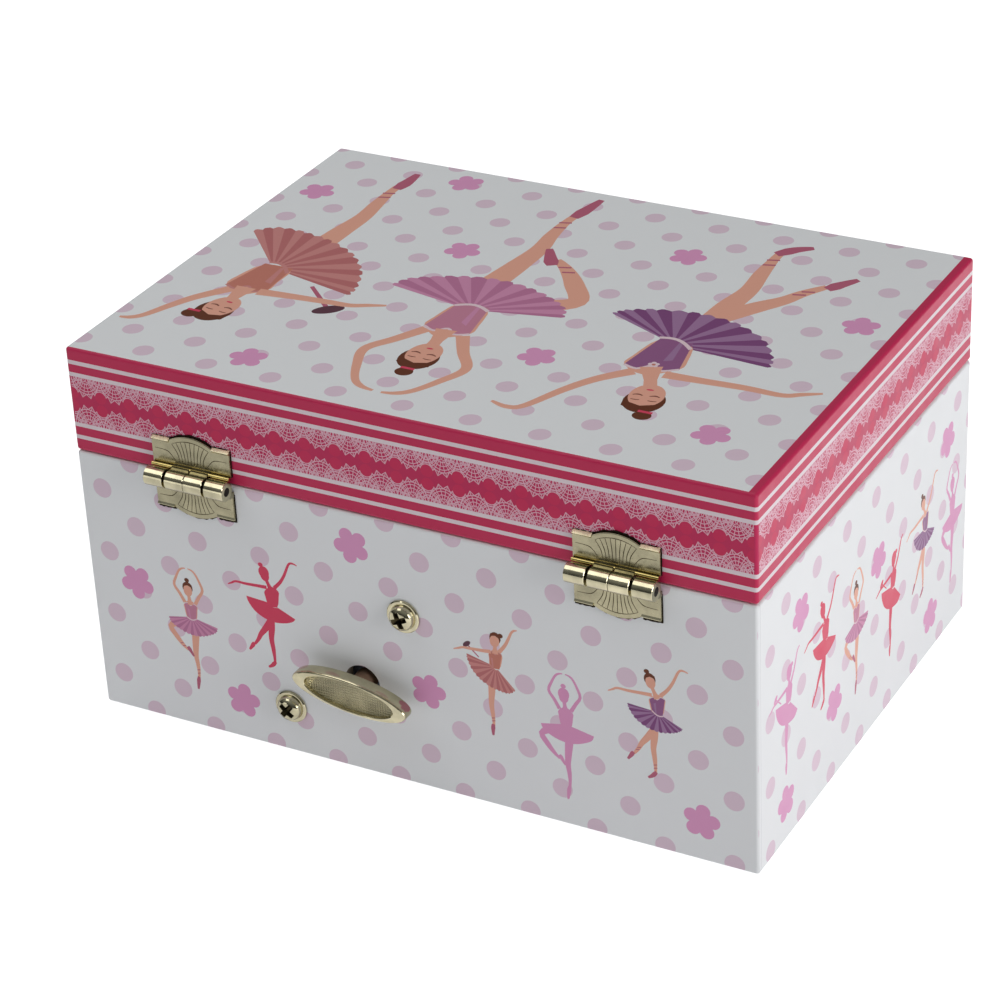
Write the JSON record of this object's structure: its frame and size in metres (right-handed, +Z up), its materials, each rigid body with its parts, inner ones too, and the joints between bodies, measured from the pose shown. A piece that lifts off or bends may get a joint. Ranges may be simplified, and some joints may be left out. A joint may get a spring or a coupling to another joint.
{
  "type": "musical jewellery box",
  "caption": "Wound musical jewellery box with a hinged lid, lined trays, a mirror, and a ballerina on a spring that turns to a pinned-cylinder movement.",
  "frame": {"origin": "centre of the underside", "axes": "+X along the length, -Y towards the front, +Y towards the hinges and winding key, +Z up"},
  "size_m": [0.15, 0.114, 0.0834],
  "materials": {
    "printed_paper": "satin printed paper",
    "pink_paper": "satin printed paper",
    "greyboard": "raw board",
    "velour": "flocked",
    "foam_pad": "velour over foam",
    "brass_plate": "bright plated",
    "steel": "brushed",
    "blued_steel": "dull",
    "white_plastic": "moulded",
    "figure_plastic": "painted",
    "tulle": "net",
    "mirror_glass": "silvered"
  },
  "bodies": {
    "case": {"base_back_panel": "greyboard", "base_front_panel": "greyboard", "base_left_panel": "greyboard", "base_right_panel": "greyboard", "base_bottom_panel": "greyboard", "base_bottom_cover": "printed_paper", "base_paper_wrap": "printed_paper", "liner_floor": "velour", "liner_front": "velour", "liner_left": "velour", "liner_right": "velour", "liner_back": "velour", "movement_partition": "velour", "deck": "velour", "divider_long": "velour", "divider_cross": "velour", "ring_pad_1": "foam_pad", "ring_pad_2": "foam_pad", "ring_pad_3": "foam_pad", "ring_pad_4": "foam_pad", "hinge_left_base_leaf": "brass_plate", "hinge_right_base_leaf": "brass_plate", "hinge_left_pin": "steel", "hinge_right_pin": "steel", "bedplate": "blued_steel", "spring_barrel": "steel", "mainspring": "blued_steel", "cylinder_bracket": "steel", "spindle_bracket": "steel", "governor_frame": "blued_steel", "comb": "steel", "comb_block": "blued_steel", "comb_screw_1": "steel", "comb_screw_2": "steel", "movement_screw_upper": "brass_plate", "movement_screw_lower": "brass_plate"},
    "lid": {"lid_back_panel": "greyboard", "lid_front_panel": "greyboard", "lid_left_panel": "greyboard", "lid_right_panel": "greyboard", "lid_top_panel": "greyboard", "lid_paper_wrap": "pink_paper", "lid_top_liner": "velour", "lid_side_liner": "velour", "mirror": "mirror_glass", "mirror_frame": "white_plastic", "hinge_left_lid_leaf": "brass_plate", "hinge_right_lid_leaf": "brass_plate"},
    "stop": {"stop_wire": "steel"},
    "winder": {"winding_key": "brass_plate", "winding_shaft": "steel"},
    "main_wheel": {"crown_wheel": "brass_plate"},
    "cylinder": {"cylinder_arbor": "white_plastic", "pin_cylinder": "brass_plate"},
    "governor_wheel": {"governor_wheel": "white_plastic"},
    "governor_worm": {"governor_worm": "white_plastic"},
    "spindle": {"spindle": "white_plastic"},
    "dancer_mount": {"dancer_spring": "steel"},
    "dancer": {"dancer_body": "figure_plastic", "dancer_tutu": "tulle"}
  },
  "joints": [
    {"name": "lid_swing", "type": "hinge", "parent": "case", "child": "lid", "pos_m": [0, 0.0568, 0.0602], "axis": [-1, 0, 0], "range_deg": [0, 95]},
    {"name": "dancer_fold", "type": "hinge", "parent": "case", "child": "dancer_mount", "pos_m": [0.0111, 0.0317, 0.051], "axis": [-1, 0, 0], "range_deg": [0, 90]},
    {"name": "dancer_spin", "type": "hinge", "parent": "dancer_mount", "child": "dancer", "pos_m": [0.0111, 0.0317, 0.051], "axis": [0, -1, 0], "continuous": true},
    {"name": "stop_slide", "type": "slide", "parent": "case", "child": "stop", "axis": [0, 0, 1], "range_m": [0, 0.004]},
    {"name": "main_wheel_spin", "type": "hinge", "parent": "case", "child": "main_wheel", "pos_m": [0.0111, 0.054, 0.0212], "axis": [0, 1, 0], "continuous": true},
    {"name": "key_spin", "type": "hinge", "parent": "case", "child": "winder", "pos_m": [0.0111, 0.054, 0.0212], "axis": [0, 1, 0], "continuous": true},
    {"name": "cylinder_spin", "type": "hinge", "parent": "case", "child": "cylinder", "pos_m": [0, 0.0317, 0.0212], "axis": [1, 0, 0], "continuous": true},
    {"name": "governor_wheel_spin", "type": "hinge", "parent": "case", "child": "governor_wheel", "pos_m": [-0.02, 0.0317, 0.0117], "axis": [1, 0, 0], "continuous": true},
    {"name": "governor_worm_spin", "type": "hinge", "parent": "case", "child": "governor_worm", "pos_m": [-0.0227, 0.0251, 0.0117], "axis": [0, 0, 1], "continuous": true},
    {"name": "spindle_spin", "type": "hinge", "parent": "case", "child": "spindle", "pos_m": [0.0111, 0.0317, 0.047], "axis": [0, 0, 1], "continuous": true}
  ],
  "couplings": [
    {"joint": "dancer_fold", "follows": "lid_swing", "ratio": 0.94736},
    {"joint": "stop_slide", "follows": "lid_swing", "m_per_rad": 0.0024},
    {"joint": "key_spin", "follows": "main_wheel_spin", "ratio": 1},
    {"joint": "cylinder_spin", "follows": "main_wheel_spin", "ratio": 2},
    {"joint": "governor_wheel_spin", "follows": "main_wheel_spin", "ratio": -7.5},
    {"joint": "governor_worm_spin", "follows": "main_wheel_spin", "ratio": -150},
    {"joint": "spindle_spin", "follows": "main_wheel_spin", "ratio": -2},
    {"joint": "dancer_spin", "follows": "main_wheel_spin", "ratio": -2}
  ]
}
